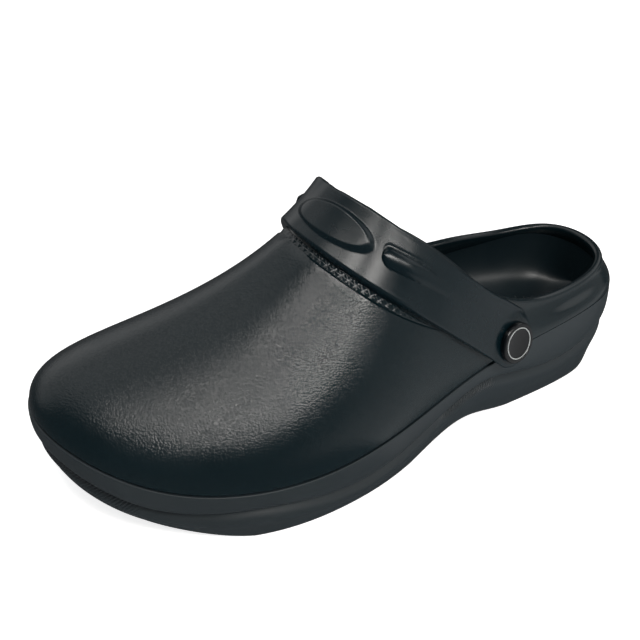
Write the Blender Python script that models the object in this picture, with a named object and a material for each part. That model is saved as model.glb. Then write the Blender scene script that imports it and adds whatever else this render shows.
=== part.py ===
"""Left clog moulded in foam: upper, sole, insole, turn-back strap and two rivets.

The toe points to -Y, the heel to +Y and the outer side of the foot to +X. The floor is z = 0 and the
origin lies under the middle of the shoe. Sizes and tables are in millimetres; meshes are in metres.
"""

import bmesh
import bpy
import numpy as np

MM = 0.001
UP = np.array([0.0, 0.0, 1.0])

# Driving sizes
LENGTH = 290.0
BALL_WIDTH = 110.0
INSTEP_HEIGHT = 113.5
HEEL_RIM_HEIGHT = 60.0
HEEL_SEAM_HEIGHT = 46.0

# Walls and clearances
WALL = 4.0
GAP = 0.3
INSOLE_THICKNESS = 5.0
CHANNEL_DEPTH = 3.0

# Strap: a straight band in side view, turning on the rivets; the inner rivet stands further forward
STRAP_SLOPE = 38.5
STRAP_THICKNESS = 4.2
STRAP_STANDOFF = 1.4
STANDOFF_REACH = 8.0
STRAP_BACK_TRIM = 0.9
BACK_TRIM_SPAN = 40.0
STRAP_OVERHANG = 1.6
CREST_OVERHANG = 1.4
STRAP_END_RADIUS = 12.8
STRAP_END_EDGE = 1.2
STRAP_END_ROUND = 9.0
STRAP_CORNER = 1.3
STRAP_CORNER_SHARE = 0.3
STRAP_CREST_DROP = 1.4
SEAT_HEIGHT = 4.8
SEAT_FADE = 5.0
RIVET_ALONG = 90.8
INNER_RIVET_AHEAD = 12.0
SKEW_START = -14.0
SKEW_SPAN = 20.0
STRAP_END_HEIGHT = 48.2
RIVET_DROP = 1.4
RIVET_RADIUS = 9.5
RIVET_CAP = 2.6
SHANK_RADIUS = 3.0
INNER_HEAD_RADIUS = 6.5
INNER_HEAD = 1.8
HEAD_CLEARANCE = 1.1
HEAD_ROUND = 0.8
CAP_ROUND = 1.0

# The textured strip in front of the strap is a step in the upper's wall
STRIP_FRONT = -18.5
STRIP_DEPTH = 0.7
STRIP_END_TOP = 84.0
STRIP_FADE = 14.0
STRIP_STEP = 0.8
STRIP_STEP_END = 1.0
STRIP_CLIMBS = (0.35, 0.93)
STEP_CLIMB = 0.02
LAST_STEP_CLIMB = 0.97

# Sole and insole
LEDGE = WALL + 1.0
EDGE_DROP = 1.5
EDGE_THICKNESS = 3.5
EDGE_CLEARANCE = 0.45
EARLY_RISE = 0.9
BED_SIDE_POWER = 3.5
BED_END_POWER = 14
TUCK_POWER = 1.7
SEAM_LIP = 0.7
SEAM_LIP_DROP = 1.0
FOXING_BULGE = 1.0
FLUTE_LIP = 0.2
FLUTE_LIP_RISE = 2.0
FLUTE_DEPTH = 2.0
RIDGE_DROP = 4.0
RIDGE_BULGE = 0.8
FLANK_BULGE = 0.3
TREAD_ROUND = 0.8
LUG_BOW = 7.0
TREAD_ZONES = ((18.0, 90.0), (142.0, 262.0))

# Middle of the whole shoe's box, which becomes the origin
CENTRE = np.array([3.1, 1.2, 0.0])

# Mesh density
HALF_RAYS = 36
CLIMBS = 13
BED_COLUMNS = (0.0, 0.06, 0.2, 0.38, 0.5, 0.62, 0.8, 0.94, 1.0)
STRAP_COLUMNS = np.array([0.0, 0.04, 0.13, 0.32, 0.5, 0.68, 0.87, 0.96, 1.0])
STRAP_END_TURNS = (12, 30, 50, 70, 90, 110, 135)
RIVET_SIDES = 28
SHARP_ANGLE = 40

# One row for each section ray, from the heel back round the lateral side to the toe and back.
# along: share of the length from the heel; out: share of half the ball width, lateral side positive;
# seam: share of the heel's seam height; top_along, top_out: the collar or throat edge in the same shares;
# top: its height, 0 at the heel rim and 1 at the instep; rise and lean: the wall's first handle, up and
# out, in mm; reach and drop: the last handle's length in mm and its angle below level in degrees.
RAY_COLUMNS = "along out seam top_along top_out top rise lean reach drop".split()
RAYS = {
    "heel_back": (-0.004, -0.02, 1.00, 0.020, -0.02, -0.01, 6, 0, 5, 80),
    "heel_corner_lateral": (0.030, 0.45, 0.99, 0.046, 0.375, -0.03, 6, 0, 5, 80),
    "heel_side_lateral": (0.131, 0.665, 0.945, 0.134, 0.55, -0.105, 6, 0, 5, 80),
    "counter_lateral": (0.241, 0.72, 0.88, 0.243, 0.61, -0.075, 7, 0, 6, 80),
    "rivet_lateral": (0.334, 0.755, 0.805, 0.335, 0.65, 0.135, 10, 1, 9, 82),
    "waist_lateral": (0.428, 0.83, 0.70, 0.410, 0.635, 0.46, 15, 2, 16, 80),
    "behind_ball_lateral": (0.534, 0.96, 0.61, 0.470, 0.535, 0.745, 20, 3, 30, 66),
    "ball_lateral": (0.662, 1.055, 0.555, 0.520, 0.38, 0.915, 21, 3, 47, 55),
    "front_ball_lateral": (0.786, 0.99, 0.57, 0.546, 0.20, 0.985, 21, 3, 61, 49),
    "toe_corner_lateral": (0.907, 0.69, 0.685, 0.554, 0.075, 1.00, 20, 3, 73, 45),
    "toe_lateral": (0.977, 0.25, 0.85, 0.557, -0.005, 1.00, 20, 2, 78, 45),
    "toe_tip": (0.996, -0.16, 0.905, 0.557, -0.065, 1.00, 23, 1.5, 79, 45),
    "toe_medial": (0.973, -0.56, 0.86, 0.555, -0.14, 0.99, 25, 1.5, 78, 48),
    "toe_corner_medial": (0.900, -0.855, 0.70, 0.550, -0.24, 0.98, 24, 2, 75, 54),
    "front_ball_medial": (0.779, -0.945, 0.58, 0.535, -0.37, 0.885, 15, 2, 62, 62),
    "ball_medial": (0.655, -0.895, 0.56, 0.507, -0.50, 0.73, 17, 2, 46, 67),
    "behind_ball_medial": (0.534, -0.77, 0.61, 0.465, -0.595, 0.50, 17, 2, 27, 74),
    "waist_medial": (0.428, -0.685, 0.70, 0.403, -0.645, 0.22, 12, 2, 13, 82),
    "rivet_medial": (0.334, -0.68, 0.805, 0.331, -0.645, -0.05, 8, 1, 7, 84),
    "counter_medial": (0.241, -0.71, 0.88, 0.243, -0.61, -0.075, 7, 0, 6, 80),
    "heel_side_medial": (0.131, -0.69, 0.945, 0.134, -0.575, -0.105, 6, 0, 5, 80),
    "heel_corner_medial": (0.031, -0.475, 0.99, 0.047, -0.40, -0.055, 6, 0, 5, 80),
}

# One row for each station of the sole. along: share of the length; flute: height of the groove that waves
# along the side; spring: height of the tread's edge, for heel bevel, arch and toe spring, where anything
# below 0 is flat on the floor; tuck: how far that edge lies inside the outline; bed: height of the foot
# bed at its middle.
SOLE_COLUMNS = "along flute spring tuck bed".split()
SOLE = {
    "heel_back": (0.00, 30.0, 4.0, 4.0, 25.0),
    "heel_bevel": (0.05, 26.5, 1.0, 4.0, 25.0),
    "heel_front_of_bevel": (0.12, 20.5, -0.8, 4.5, 25.0),
    "heel_middle": (0.21, 19.0, -0.8, 5.0, 25.0),
    "heel_breast": (0.29, 23.0, 1.0, 5.5, 25.0),
    "arch": (0.355, 25.5, 4.0, 6.0, 24.5),
    "behind_ball": (0.43, 20.5, 2.0, 5.0, 23.0),
    "tread_back": (0.52, 13.5, -0.4, 2.4, 20.5),
    "ball": (0.63, 11.0, -0.8, 1.8, 18.0),
    "tread_front": (0.77, 15.5, -0.2, 3.0, 17.5),
    "toe_break": (0.87, 16.5, 5.5, 5.0, 20.5),
    "toe_lift": (0.95, 22.5, 13.5, 5.0, 25.0),
    "toe_tip": (1.00, 31.0, 21.0, 5.5, 28.0),
}


def spline(knots, values, at, period=None):
    """Cubic spline through columns of values: closed round a period, or with natural ends."""
    knots = np.asarray(knots, float)
    values = np.asarray(values, float)
    at = np.asarray(at, float)
    if period:
        at = (at - knots[0]) % period + knots[0]
        knots = np.append(knots, knots[0] + period)
        values = np.append(values, values[0])
    step = np.diff(knots)
    slope = np.diff(values) / step
    last = len(step)
    inner = np.arange(1, last)
    matrix = np.eye(last + 1)
    right = np.zeros(last + 1)
    matrix[inner, inner - 1] = step[:-1]
    matrix[inner, inner] = 2 * (step[:-1] + step[1:])
    matrix[inner, inner + 1] = step[1:]
    right[inner] = 6 * np.diff(slope)
    if period:
        matrix[0, [last - 1, 0, 1]] = step[-1], 2 * (step[-1] + step[0]), step[0]
        right[0] = 6 * (slope[0] - slope[-1])
        matrix[last, [0, last]] = 1, -1
    bend = np.linalg.solve(matrix, right)
    k = np.clip(np.searchsorted(knots, at, side="right") - 1, 0, last - 1)
    d = at - knots[k]
    low = bend[k]
    high = bend[k + 1]
    first = slope[k] - step[k] * (2 * low + high) / 6
    return values[k] + d * (first + d * (low / 2 + d * (high - low) / (6 * step[k])))


def smooth(share):
    """0 below 0, 1 above 1 and an even S between."""
    share = np.clip(share, 0, 1)
    return share * share * (3 - 2 * share)


def round_off(share):
    """Quarter circle: 0 at 0, rising steeply, 1 from 1 on."""
    return np.sqrt(1 - (1 - np.clip(share, 0, 1)) ** 2)


def unit(vectors):
    return vectors / np.linalg.norm(vectors, axis=-1, keepdims=True)


def ray_sizes():
    """The ray table turned into millimetres, a column each."""
    table = dict(zip(RAY_COLUMNS, np.array(list(RAYS.values()), float).T))
    for name in ("along", "top_along"):
        table[name] = table[name] * LENGTH
    for name in ("out", "top_out"):
        table[name] = table[name] * BALL_WIDTH / 2
    table["seam"] = table["seam"] * HEEL_SEAM_HEIGHT
    table["top"] = HEEL_RIM_HEIGHT + table["top"] * (INSTEP_HEIGHT - HEEL_RIM_HEIGHT)
    return table


RAY = ray_sizes()
CHORDS = np.hypot(np.roll(RAY["along"], -1) - RAY["along"], np.roll(RAY["out"], -1) - RAY["out"])
KNOTS = np.cumsum(CHORDS) - CHORDS
AROUND = CHORDS.sum()
TOE_RAY = KNOTS[list(RAYS).index("toe_tip")]


def ray(around, name):
    """A column of the ray table at any place around the outline."""
    return spline(KNOTS, RAY[name], around, AROUND)


def sole(along, name):
    """A column of the sole table at any station."""
    rows = np.array(list(SOLE.values())).T
    return spline(rows[0] * LENGTH, rows[SOLE_COLUMNS.index(name)], along)


def place(along, out, high):
    """World point of a station, a side distance and a height."""
    return np.stack(np.broadcast_arrays(out, LENGTH / 2 - np.asarray(along), high), axis=-1)


def outward(around):
    """Unit direction out of the outline in plan."""
    half = 0.5
    run = place(ray(around + half, "along"), ray(around + half, "out"), 0.0)
    run = unit(run - place(ray(around - half, "along"), ray(around - half, "out"), 0.0))
    return np.stack([-run[..., 1], run[..., 0], np.zeros(run.shape[:-1])], axis=-1)


def last_face(around, climb):
    """Outer face of the upper before its step: on each ray a cubic Bezier from the seam to the edge."""
    around, climb = np.broadcast_arrays(np.asarray(around, float), np.asarray(climb, float))
    size = {name: ray(around, name)[..., None] for name in RAY_COLUMNS}
    start = place(size["along"], size["out"], size["seam"])[..., 0, :]
    end = place(size["top_along"], size["top_out"], size["top"])[..., 0, :]
    level = unit((start - end) * [1, 1, 0])
    drop = np.radians(size["drop"])
    first = start + size["rise"] * UP + size["lean"] * outward(around)
    second = end + size["reach"] * (np.cos(drop) * level - np.sin(drop) * UP)
    t = climb[..., None]
    s = 1 - t
    return s**3 * start + 3 * s * s * t * first + 3 * s * t * t * second + t**3 * end


def last_normal(around, climb):
    """Unit normal of the outer face, from small steps along and across the rays."""
    step = 0.5
    share = 0.01
    along = last_face(around + step, climb) - last_face(around - step, climb)
    up = last_face(around, climb + share) - last_face(around, climb - share)
    return unit(np.cross(up, along))


def band_height(points):
    """Distance above the strap's middle line in side view, square to the strap's slope."""
    slope = np.radians(STRAP_SLOPE)
    skew = INNER_RIVET_AHEAD * smooth((SKEW_START - points[..., 0]) / SKEW_SPAN)
    ahead = LENGTH / 2 - points[..., 1] - RIVET_ALONG - skew
    above = points[..., 2] - STRAP_END_HEIGHT
    return above * np.cos(slope) - ahead * np.sin(slope)


def climb_at(around, heights):
    """Climb at which each ray reaches given band heights; around is one value a row."""
    fine = np.linspace(0, 1, 61)
    line = band_height(last_face(around[:, None], fine[None, :]))
    return np.array([np.interp(h, row, fine) for h, row in zip(heights, line)])


def strip_front(around):
    """Band height of the textured strip's front line, which closes up to the strap down the sides."""
    top = ray(around, "top")
    down = smooth((INSTEP_HEIGHT - top) / (INSTEP_HEIGHT - HEEL_RIM_HEIGHT) * 1.5)
    return STRIP_FRONT + (-STRAP_END_RADIUS - STRIP_FRONT) * down


def upper_face(around, climb):
    """Outer face of the upper: the last's face, stepped in behind the textured strip's front line."""
    around, climb = np.broadcast_arrays(np.asarray(around, float), np.asarray(climb, float))
    points = last_face(around, climb)
    behind = smooth((band_height(points) - strip_front(around)) / STRIP_STEP)
    front_share = smooth((ray(around, "top") - STRIP_END_TOP) / STRIP_FADE)
    return points - (STRIP_DEPTH * behind * front_share)[..., None] * last_normal(around, climb)


def stations(half):
    """Places around the outline: heel back, the lateral side, toe tip, then as many on the medial side."""
    lateral = np.linspace(0, TOE_RAY, half + 1)
    medial = np.linspace(TOE_RAY, AROUND, half + 1)
    return np.append(lateral, medial[1:-1])


def ring_faces(rows, columns):
    """Quads of a grid whose rows close into a ring."""
    here = np.arange(rows)[:, None] * columns + np.arange(columns - 1)
    there = (np.arange(1, rows + 1) % rows)[:, None] * columns + np.arange(columns - 1)
    return np.stack([here, here + 1, there + 1, there], axis=-1).reshape(-1, 4)


def sheet_faces(rows, columns):
    """Quads of an open grid."""
    here = np.arange(rows - 1)[:, None] * columns + np.arange(columns - 1)
    return np.stack([here, here + 1, here + columns + 1, here + columns], axis=-1).reshape(-1, 4)


def upper_climbs(around):
    """Climb columns of the upper's outer face, with two of them on the step of the textured strip."""
    front = np.clip(climb_at(around, strip_front(around)), *STRIP_CLIMBS)
    back = climb_at(around, strip_front(around) + STRIP_STEP_END)
    back = np.clip(back, front + STEP_CLIMB, LAST_STEP_CLIMB)
    low = np.linspace(0, 1, CLIMBS - 4)
    high = np.linspace(0, 1, 4)
    return np.hstack([front[:, None] * low, back[:, None] + (1 - back[:, None]) * high])


def upper_grid():
    """Closed section on each ray: outer face up, half-round edge, inner face down to the seam."""
    around = stations(HALF_RAYS)
    climbs = upper_climbs(around)
    outer = upper_face(around[:, None], climbs)
    inner_climbs = np.linspace(1, 0, CLIMBS - 3)
    inner = last_face(around[:, None], inner_climbs) - WALL * last_normal(around[:, None], inner_climbs)
    inner[:, -1, 2] = ray(around, "seam")
    edge_out = outer[:, -1]
    edge_in = inner[:, 0]
    middle = (edge_out + edge_in) / 2
    across = (edge_out - edge_in) / 2
    onward = np.cross(unit(across), unit(np.roll(middle, -1, axis=0) - np.roll(middle, 1, axis=0)))
    onward *= np.sign((onward * (edge_out - outer[:, -2])).sum(axis=1))[:, None]
    size = np.linalg.norm(across, axis=1)[:, None]
    turns = np.radians([45, 90, 135])
    edge = np.stack([middle + np.cos(a) * across + np.sin(a) * size * onward for a in turns], axis=1)
    return np.concatenate([outer, edge, inner], axis=1)


def rim(around, inset, high):
    """Ring of points inside the outline by an inset, at given heights."""
    inset = np.broadcast_to(inset, around.shape)
    points = place(ray(around, "along"), ray(around, "out"), high)
    return points - inset[:, None] * outward(around)


def sole_side(around):
    """Rings of the sole's side from the seam down: foxing band, flute, ridge and tucked tread edge."""
    along = ray(around, "along")
    seam = ray(around, "seam") - GAP
    flute = sole(along, "flute")
    spring = np.maximum(sole(along, "spring"), 0)
    tuck = sole(along, "tuck")
    ridge = flute - RIDGE_DROP
    levels = (
        (seam, 0.0),
        (seam - SEAM_LIP_DROP, SEAM_LIP),
        (seam * 0.5 + flute * 0.5, FOXING_BULGE),
        (flute + FLUTE_LIP_RISE, FLUTE_LIP),
        (flute, -FLUTE_DEPTH),
        (ridge, RIDGE_BULGE),
        (ridge * 0.5 + spring * 0.5, FLANK_BULGE),
        (spring + TREAD_ROUND, 0.0),
        (spring, -TREAD_ROUND),
    )
    rings = []
    for high, relief in levels:
        share = (seam - high) / (seam - spring)
        rings.append(rim(around, tuck * share**TUCK_POWER - relief, high))
    return rings


def bowl(boundary, along, across, bed, early=0.0):
    """Height of the foot bed's bowl: the bed in the middle, rising to the boundary at sides and ends.

    early: how far before the sole's own ends the rise starts, in mm.
    """
    length_share = np.clip((np.abs(along - LENGTH / 2) + early) * 2 / LENGTH, 0, 1)
    rise = 1 - (1 - np.abs(across) ** BED_SIDE_POWER) * (1 - length_share**BED_END_POWER)
    return bed + (boundary - bed) * rise


def cap(ring, columns, height, first_index, ring_index, bow=0.0):
    """Fills a ring by rows from its lateral to its medial side. Gives inner points and faces with their cells.

    columns: shares of the way across; height(boundary, along, across) gives each inner point's height; bow
    pushes the middle of each row towards the toe.
    """
    half = len(ring) // 2
    rows = np.arange(1, half)
    share = np.asarray(columns[1:-1])[None, :, None]
    lateral = ring[rows][:, None, :]
    medial = ring[len(ring) - rows][:, None, :]
    points = lateral + (medial - lateral) * share
    q = 2 * share[..., 0] - 1
    ends = np.minimum(rows, half - rows)[:, None] / half
    points[..., 1] -= bow * (1 - q * q) * np.clip(ends * 6, 0, 1)
    points[..., 2] = height(points[..., 2], LENGTH / 2 - points[..., 1], q + 0 * points[..., 2])
    count = len(columns) - 2
    index = np.empty((half + 1, count + 2), int)
    index[1:half, 1:-1] = first_index + np.arange((half - 1) * count).reshape(half - 1, count)
    index[1:half, 0] = ring_index[rows]
    index[1:half, -1] = ring_index[len(ring) - rows]
    index[0] = ring_index[0]
    index[half] = ring_index[half]
    faces = []
    for j in range(half):
        for k in range(count + 1):
            corners = [index[j, k], index[j + 1, k], index[j + 1, k + 1], index[j, k + 1]]
            faces.append(((j, k), list(dict.fromkeys(corners))))
    return points.reshape(-1, 3), faces


def capped_rings(rings, top, bottom, columns, bow=0.0):
    """Points and faces of a solid: rings from top to bottom, closed by a cap at each end."""
    grid = np.stack(rings, axis=1)
    count, levels = grid.shape[:2]
    points = [grid.reshape(-1, 3)]
    faces = ring_faces(count, levels).tolist()
    top_index = np.arange(count) * levels
    more, top_faces = cap(rings[0], columns, top, count * levels, top_index)
    points.append(more)
    start = count * levels + len(more)
    more, bottom_faces = cap(rings[-1], columns, bottom, start, top_index + levels - 1, bow)
    points.append(more)
    cells = {}
    for cell, corners in bottom_faces:
        cells[cell] = len(faces)
        faces.append(corners)
    faces += [corners[::-1] for _, corners in top_faces]
    return np.vstack(points), faces, cells


def sole_mesh():
    """Sole: ledge under the upper, well for the insole, side, and tread with its edge at the spring line."""
    around = stations(HALF_RAYS)
    ledge = ray(around, "seam") - GAP
    well = ledge - EDGE_DROP - EDGE_THICKNESS
    rings = [rim(around, LEDGE, well), rim(around, LEDGE, ledge)] + sole_side(around)

    def well_floor(boundary, along, across):
        return bowl(boundary, along, across, sole(along, "bed") - INSOLE_THICKNESS - GAP)

    def tread(boundary, along, across):
        return np.maximum(sole(along, "spring"), 0)

    return capped_rings(rings, well_floor, tread, BED_COLUMNS, LUG_BOW)


def channel_rows():
    """Rows of the tread that are sunk: every second one whose middle lies within a tread zone."""
    middle = ray(TOE_RAY * (np.arange(HALF_RAYS) + 0.5) / HALF_RAYS, "along")
    inside = [any(start < along < end for start, end in TREAD_ZONES) for along in middle]
    return np.array(inside) & (np.arange(HALF_RAYS) % 2 == 1)


def insole_mesh():
    """Insole: a cupped sheet that lies in the sole's well, clear of it all round."""
    around = stations(HALF_RAYS)
    seam = ray(around, "seam") - GAP
    inset = LEDGE + EDGE_CLEARANCE
    rings = [rim(around, inset, seam - EDGE_DROP), rim(around, inset, seam - EDGE_DROP - EDGE_THICKNESS + GAP)]

    def top(boundary, along, across):
        return bowl(boundary, along, across, sole(along, "bed"))

    def underside(boundary, along, across):
        return bowl(boundary, along, across, sole(along, "bed") - INSOLE_THICKNESS, early=EARLY_RISE)

    return capped_rings(rings, top, underside, BED_COLUMNS)


def station_ray(along, side):
    """Place around the outline of stations on one side: side is +1 lateral, -1 medial."""
    fine = np.linspace(0 if side > 0 else AROUND, TOE_RAY, 400)
    return np.interp(along, ray(fine, "along"), fine)


def rivet_along(around):
    """Station of the rivet on the same side of the shoe."""
    return RIVET_ALONG + INNER_RIVET_AHEAD * (np.asarray(around) > TOE_RAY)


def rivet_seat(side):
    """Place around the outline, foot point on the upper and axis of a rivet; side is +1 lateral, -1 medial."""
    around = station_ray(RIVET_ALONG + INNER_RIVET_AHEAD * (side < 0), side)
    climb = climb_at(np.array([around]), np.array([-RIVET_DROP]))[0]
    return around, last_face(around, climb), last_normal(np.array([around]), np.array([climb]))[0]


def strap_rays():
    """Places around the outline for the strap's rows: close together at its round ends."""
    end = RIVET_ALONG - STRAP_END_RADIUS * np.cos(np.radians(STRAP_END_TURNS))
    lateral = station_ray(end, 1)
    medial = station_ray(end + INNER_RIVET_AHEAD, -1)
    shared = stations(HALF_RAYS)
    middle = shared[(shared > lateral[-1] + 3) & (shared < medial[-1] - 3)]
    return np.concatenate([lateral, middle, medial[::-1]])


def strap_limits(around):
    """Band heights of the strap's front and back edges on each ray, with a round end about the rivet."""
    slope = np.radians(STRAP_SLOPE)
    radius = STRAP_END_RADIUS
    behind = ray(around, "along") - rivet_along(around)
    chord = np.sqrt(np.maximum(radius**2 - behind**2, 0)) * np.cos(slope)
    crest = np.clip((ray(around, "top") - STRIP_END_TOP) / (INSTEP_HEIGHT - STRIP_END_TOP), 0, 1)
    front = -radius - STRAP_CREST_DROP * crest**3
    low = np.where(behind < radius * np.sin(slope), -chord - behind * np.sin(slope), front)
    back = radius - STRAP_BACK_TRIM * smooth(behind / BACK_TRIM_SPAN)
    high = np.where(behind < -radius * np.sin(slope), chord - behind * np.sin(slope), back)
    throat = band_height(last_face(around, np.ones_like(around)))
    return low, np.minimum(high, throat + STRAP_OVERHANG + CREST_OVERHANG * crest**3)


def strap_faces():
    """Inner and outer faces of the strap, both offset from the upper's own face."""
    around = strap_rays()
    low, high = strap_limits(around)
    heights = low[:, None] + (high - low)[:, None] * STRAP_COLUMNS
    climbs = climb_at(around, heights)
    rays = np.broadcast_to(around[:, None], heights.shape)
    foot = upper_face(rays, climbs)
    normal = last_normal(rays, climbs)
    below = np.maximum(band_height(last_face(around, 0 * around))[:, None] - heights, 0)
    foot = foot - (below / np.cos(np.radians(STRAP_SLOPE)))[..., None] * UP
    past = np.maximum(heights - band_height(last_face(around, 1 + 0 * around))[:, None], 0)
    foot = foot + past[..., None] * unit(last_face(rays, climbs) - last_face(rays, climbs - 0.02))
    near_seam = smooth((ray(rays, "seam") + STANDOFF_REACH - foot[..., 2]) / STANDOFF_REACH)
    inner = foot + (GAP + STRAP_STANDOFF * near_seam)[..., None] * normal
    from_side = np.minimum(STRAP_COLUMNS, 1 - STRAP_COLUMNS) * (high - low)[:, None]
    from_end = (ray(around, "along") - rivet_along(around) + STRAP_END_RADIUS)[:, None]
    body = STRAP_END_EDGE + (STRAP_THICKNESS - STRAP_END_EDGE) * round_off(from_end / STRAP_END_ROUND)
    corner = STRAP_CORNER_SHARE * (1 - round_off(from_side / STRAP_CORNER))
    outer = inner + (body * (1 - corner))[..., None] * normal
    for side in (1, -1):
        _, seat, axis = rivet_seat(side)
        reach = outer - seat
        lift = reach @ axis
        radius = np.linalg.norm(reach - lift[..., None] * axis, axis=-1)
        flat = (1 - smooth((radius - RIVET_RADIUS) / SEAT_FADE)) * (np.abs(lift) < 20)
        outer = outer + (flat * (SEAT_HEIGHT - lift))[..., None] * axis
    return inner, outer


def lathe(profile, foot, axis, sides=RIVET_SIDES):
    """Points and faces of a profile of (radius, height) pairs turned about an axis, from bottom to top."""
    across = unit(np.cross(axis, UP))
    upright = np.cross(axis, across)
    turn = 2 * np.pi * np.arange(sides) / sides
    round_way = np.cos(turn)[:, None] * across + np.sin(turn)[:, None] * upright
    radius, height = np.array(profile, float).T
    rings = foot + radius[None, 1:-1, None] * round_way[:, None] + height[None, 1:-1, None] * axis
    levels = len(profile) - 2
    points = np.vstack([rings.reshape(-1, 3), foot + height[0] * axis, foot + height[-1] * axis])
    faces = ring_faces(sides, levels).tolist()
    bottom, top = sides * levels, sides * levels + 1
    for k in range(sides):
        after = (k + 1) % sides
        faces.append([bottom, k * levels, after * levels])
        faces.append([top, after * levels + levels - 1, k * levels + levels - 1])
    return points, faces


def rivet_profile():
    """Inner head, shank and round-edged cap, as radius and height above the upper's outer face."""
    inside = -WALL - HEAD_CLEARANCE
    seat = SEAT_HEIGHT + GAP
    return (
        (0.0, inside - INNER_HEAD),
        (INNER_HEAD_RADIUS - HEAD_ROUND, inside - INNER_HEAD),
        (INNER_HEAD_RADIUS, inside - INNER_HEAD + HEAD_ROUND),
        (INNER_HEAD_RADIUS, inside),
        (SHANK_RADIUS, inside),
        (SHANK_RADIUS, seat),
        (RIVET_RADIUS, seat),
        (RIVET_RADIUS, seat + RIVET_CAP - CAP_ROUND),
        (RIVET_RADIUS - 0.3 * CAP_ROUND, seat + RIVET_CAP - 0.3 * CAP_ROUND),
        (RIVET_RADIUS - CAP_ROUND, seat + RIVET_CAP),
        (0.0, seat + RIVET_CAP),
    )


# Blender objects


def finish(name, colour, roughness):
    """Principled material of one foam or plastic part."""
    material = bpy.data.materials.new(name)
    material.use_nodes = True
    shader = material.node_tree.nodes["Principled BSDF"]
    shader.inputs["Base Color"].default_value = (*colour, 1.0)
    shader.inputs["Roughness"].default_value = roughness
    shader.inputs["Metallic"].default_value = 0.0
    return material


def add_object(name, points, faces, material=None):
    """Object from points in millimetres, with its faces turned outwards and shaded smooth."""
    mesh = bpy.data.meshes.new(name)
    mesh.from_pydata(((np.asarray(points) - CENTRE) * MM).tolist(), [], [list(map(int, f)) for f in faces])
    shape = bmesh.new()
    shape.from_mesh(mesh)
    bmesh.ops.recalc_face_normals(shape, faces=shape.faces)
    shape.to_mesh(mesh)
    shape.free()
    mesh.shade_smooth()
    mesh.set_sharp_from_angle(angle=np.radians(SHARP_ANGLE))
    thing = bpy.data.objects.new(name, mesh)
    bpy.context.scene.collection.objects.link(thing)
    if material:
        mesh.materials.append(material)
    return thing


def cut_channels(thing, cells):
    """Pushes rows of tread faces up into the sole, which leaves the lugs standing between them."""
    shape = bmesh.new()
    shape.from_mesh(thing.data)
    shape.faces.ensure_lookup_table()
    sunk = channel_rows()
    inside = range(1, len(BED_COLUMNS) - 2)
    chosen = [shape.faces[number] for (row, column), number in cells.items() if sunk[row] and column in inside]
    grown = bmesh.ops.extrude_face_region(shape, geom=chosen)
    moved = [item for item in grown["geom"] if isinstance(item, bmesh.types.BMVert)]
    bmesh.ops.delete(shape, geom=chosen, context="FACES")
    bmesh.ops.translate(shape, verts=moved, vec=(0, 0, CHANNEL_DEPTH * MM))
    bmesh.ops.recalc_face_normals(shape, faces=shape.faces)
    shape.to_mesh(thing.data)
    shape.free()


def drill(thing, cutter):
    """Boolean cut that keeps its cutter as a hidden wire object."""
    cut = thing.modifiers.new(cutter.name, "BOOLEAN")
    cut.operation = "DIFFERENCE"
    cut.solver = "EXACT"
    cut.object = cutter


def add_upper():
    grid = upper_grid()
    rows, columns = grid.shape[:2]
    faces = ring_faces(rows, columns).tolist()
    here = np.arange(rows) * columns
    there = np.roll(here, -1)
    faces += np.stack([here + columns - 1, here, there, there + columns - 1], axis=1).tolist()
    return add_object("upper", grid.reshape(-1, 3), faces, finish("upper_foam", (0.010, 0.011, 0.012), 0.45))


def add_sole():
    points, faces, cells = sole_mesh()
    thing = add_object("sole", points, faces, finish("sole_foam", (0.012, 0.013, 0.014), 0.6))
    cut_channels(thing, cells)
    return thing


def add_insole():
    points, faces, _ = insole_mesh()
    return add_object("insole", points, faces, finish("insole_foam", (0.010, 0.011, 0.013), 0.35))


def add_strap():
    inner, outer = strap_faces()
    rows, columns = inner.shape[:2]
    points = np.vstack([inner.reshape(-1, 3), outer.reshape(-1, 3)])
    sheet = sheet_faces(rows, columns)
    count = rows * columns
    faces = sheet[:, ::-1].tolist() + (sheet + count).tolist()
    index = np.arange(count).reshape(rows, columns)
    border = np.concatenate([index[0, :-1], index[:-1, -1], index[-1, :0:-1], index[:0:-1, 0]])
    after = np.roll(border, -1)
    faces += np.stack([border, after, after + count, border + count], axis=1).tolist()
    return add_object("strap", points, faces, finish("strap_foam", (0.011, 0.012, 0.013), 0.5))


def add_rivets(drilled):
    for side, name in ((1, "rivet_lateral"), (-1, "rivet_medial")):
        _, foot, axis = rivet_seat(side)
        points, faces = lathe(rivet_profile(), foot, axis)
        add_object(name, points, faces, finish(name + "_plastic", (0.010, 0.010, 0.011), 0.3))
        bore = SHANK_RADIUS + GAP
        reach = SEAT_HEIGHT + WALL
        hole = ((0.0, -reach), (bore, -reach), (bore, reach), (0.0, reach))
        points, faces = lathe(hole, foot, axis)
        cutter = add_object(name + "_hole", points, faces)
        cutter.hide_render = True
        cutter.display_type = "WIRE"
        for thing in drilled:
            drill(thing, cutter)


def main():
    for thing in list(bpy.data.objects):
        bpy.data.objects.remove(thing)
    upper = add_upper()
    add_sole()
    add_insole()
    strap = add_strap()
    add_rivets((upper, strap))


main()
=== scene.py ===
"""Dresses the left foam clog: fine surfaces over the same sizes as the solids, finishes, light and camera.

Every surface is worked out in millimetres from the tables below, in the axes of the tables, and is put
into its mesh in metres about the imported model's origin. The toe points to -Y and +X is the outer side.
"""

import bmesh
import bpy
import numpy as np
from mathutils import Matrix, Vector


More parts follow.
